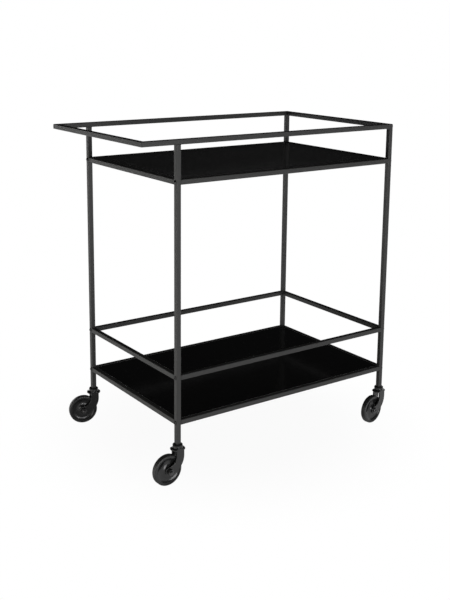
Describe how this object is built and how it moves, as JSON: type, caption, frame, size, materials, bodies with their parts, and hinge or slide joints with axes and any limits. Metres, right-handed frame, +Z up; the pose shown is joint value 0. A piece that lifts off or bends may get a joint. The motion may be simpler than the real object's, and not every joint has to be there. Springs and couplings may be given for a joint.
{
  "type": "serving cart",
  "caption": "Slim square-tube serving cart on swivel castors, with inset black glass shelves, a guard rail round the lower shelf and a push handle at one end.",
  "frame": {"origin": "on the floor, under the centre of the whole cart's bounding box", "axes": "+Z up, X along the cart with the handle at -X, -Y the front long side"},
  "size_m": [0.764, 0.4735, 0.812],
  "materials": {
    "black_frame": "satin black powder coat",
    "black_glass": "polished opaque black",
    "soft_pad": "matte",
    "black_screw": "black oxide",
    "nylon_plug": "matte black nylon",
    "castor_steel": "dark zinc plated",
    "castor_collar": "matte black",
    "castor_fork": "glossy black",
    "castor_wheel": "glossy black",
    "castor_tyre": "smooth black tread"
  },
  "bodies": {
    "frame": {"post_front_left": "black_frame", "post_front_right": "black_frame", "post_back_left": "black_frame", "post_back_right": "black_frame", "top_rail_front": "black_frame", "top_rail_back": "black_frame", "top_rail_right": "black_frame", "handle_bar": "black_frame", "upper_rail_front": "black_frame", "upper_rail_back": "black_frame", "upper_rail_left": "black_frame", "upper_rail_right": "black_frame", "guard_rail_front": "black_frame", "guard_rail_back": "black_frame", "guard_rail_left": "black_frame", "guard_rail_right": "black_frame", "lower_rail_front": "black_frame", "lower_rail_back": "black_frame", "lower_rail_left": "black_frame", "lower_rail_right": "black_frame", "post_caps": "black_frame", "upper_glass_tabs": "black_frame", "lower_glass_tabs": "black_frame", "upper_glass": "black_glass", "lower_glass": "black_glass", "upper_glass_pads": "soft_pad", "lower_glass_pads": "soft_pad", "rail_screws": "black_screw", "rail_end_plugs": "nylon_plug", "post_inserts": "nylon_plug", "caster_stems": "castor_steel", "caster_collars": "castor_collar", "swivel_sleeves": "nylon_plug"},
    "castor_front_left": {"fork_front_left": "castor_fork", "axle_bolt_front_left": "castor_steel", "axle_nut_front_left": "castor_steel"},
    "roller_front_left": {"wheel_front_left": "castor_wheel", "wheel_bush_front_left": "nylon_plug", "tyre_front_left": "castor_tyre"},
    "castor_front_right": {"fork_front_right": "castor_fork", "axle_bolt_front_right": "castor_steel", "axle_nut_front_right": "castor_steel"},
    "roller_front_right": {"wheel_front_right": "castor_wheel", "wheel_bush_front_right": "nylon_plug", "tyre_front_right": "castor_tyre"},
    "castor_back_left": {"fork_back_left": "castor_fork", "axle_bolt_back_left": "castor_steel", "axle_nut_back_left": "castor_steel"},
    "roller_back_left": {"wheel_back_left": "castor_wheel", "wheel_bush_back_left": "nylon_plug", "tyre_back_left": "castor_tyre"},
    "castor_back_right": {"fork_back_right": "castor_fork", "axle_bolt_back_right": "castor_steel", "axle_nut_back_right": "castor_steel"},
    "roller_back_right": {"wheel_back_right": "castor_wheel", "wheel_bush_back_right": "nylon_plug", "tyre_back_right": "castor_tyre"}
  },
  "joints": [
    {"name": "swivel_front_left", "type": "hinge", "parent": "frame", "child": "castor_front_left", "pos_m": [-0.286, -0.212, 0.086], "axis": [0, 0, 1], "continuous": true},
    {"name": "spin_front_left", "type": "hinge", "parent": "castor_front_left", "child": "roller_front_left", "pos_m": [-0.31599, -0.21279, 0.0375], "axis": [-0.0262, 0.9997, 0], "continuous": true},
    {"name": "swivel_front_right", "type": "hinge", "parent": "frame", "child": "castor_front_right", "pos_m": [0.364, -0.212, 0.086], "axis": [0, 0, 1], "continuous": true},
    {"name": "spin_front_right", "type": "hinge", "parent": "castor_front_right", "child": "roller_front_right", "pos_m": [0.33437, -0.21669, 0.0375], "axis": [-0.1564, 0.9877, 0], "continuous": true},
    {"name": "swivel_back_left", "type": "hinge", "parent": "frame", "child": "castor_back_left", "pos_m": [-0.286, 0.212, 0.086], "axis": [0, 0, 1], "continuous": true},
    {"name": "spin_back_left", "type": "hinge", "parent": "castor_back_left", "child": "roller_back_left", "pos_m": [-0.31498, 0.21976, 0.0375], "axis": [0.2588, 0.9659, 0], "continuous": true},
    {"name": "swivel_back_right", "type": "hinge", "parent": "frame", "child": "castor_back_right", "pos_m": [0.364, 0.212, 0.086], "axis": [0, 0, 1], "continuous": true},
    {"name": "spin_back_right", "type": "hinge", "parent": "castor_back_right", "child": "roller_back_right", "pos_m": [0.33437, 0.21669, 0.0375], "axis": [0.1564, 0.9877, 0], "continuous": true}
  ]
}
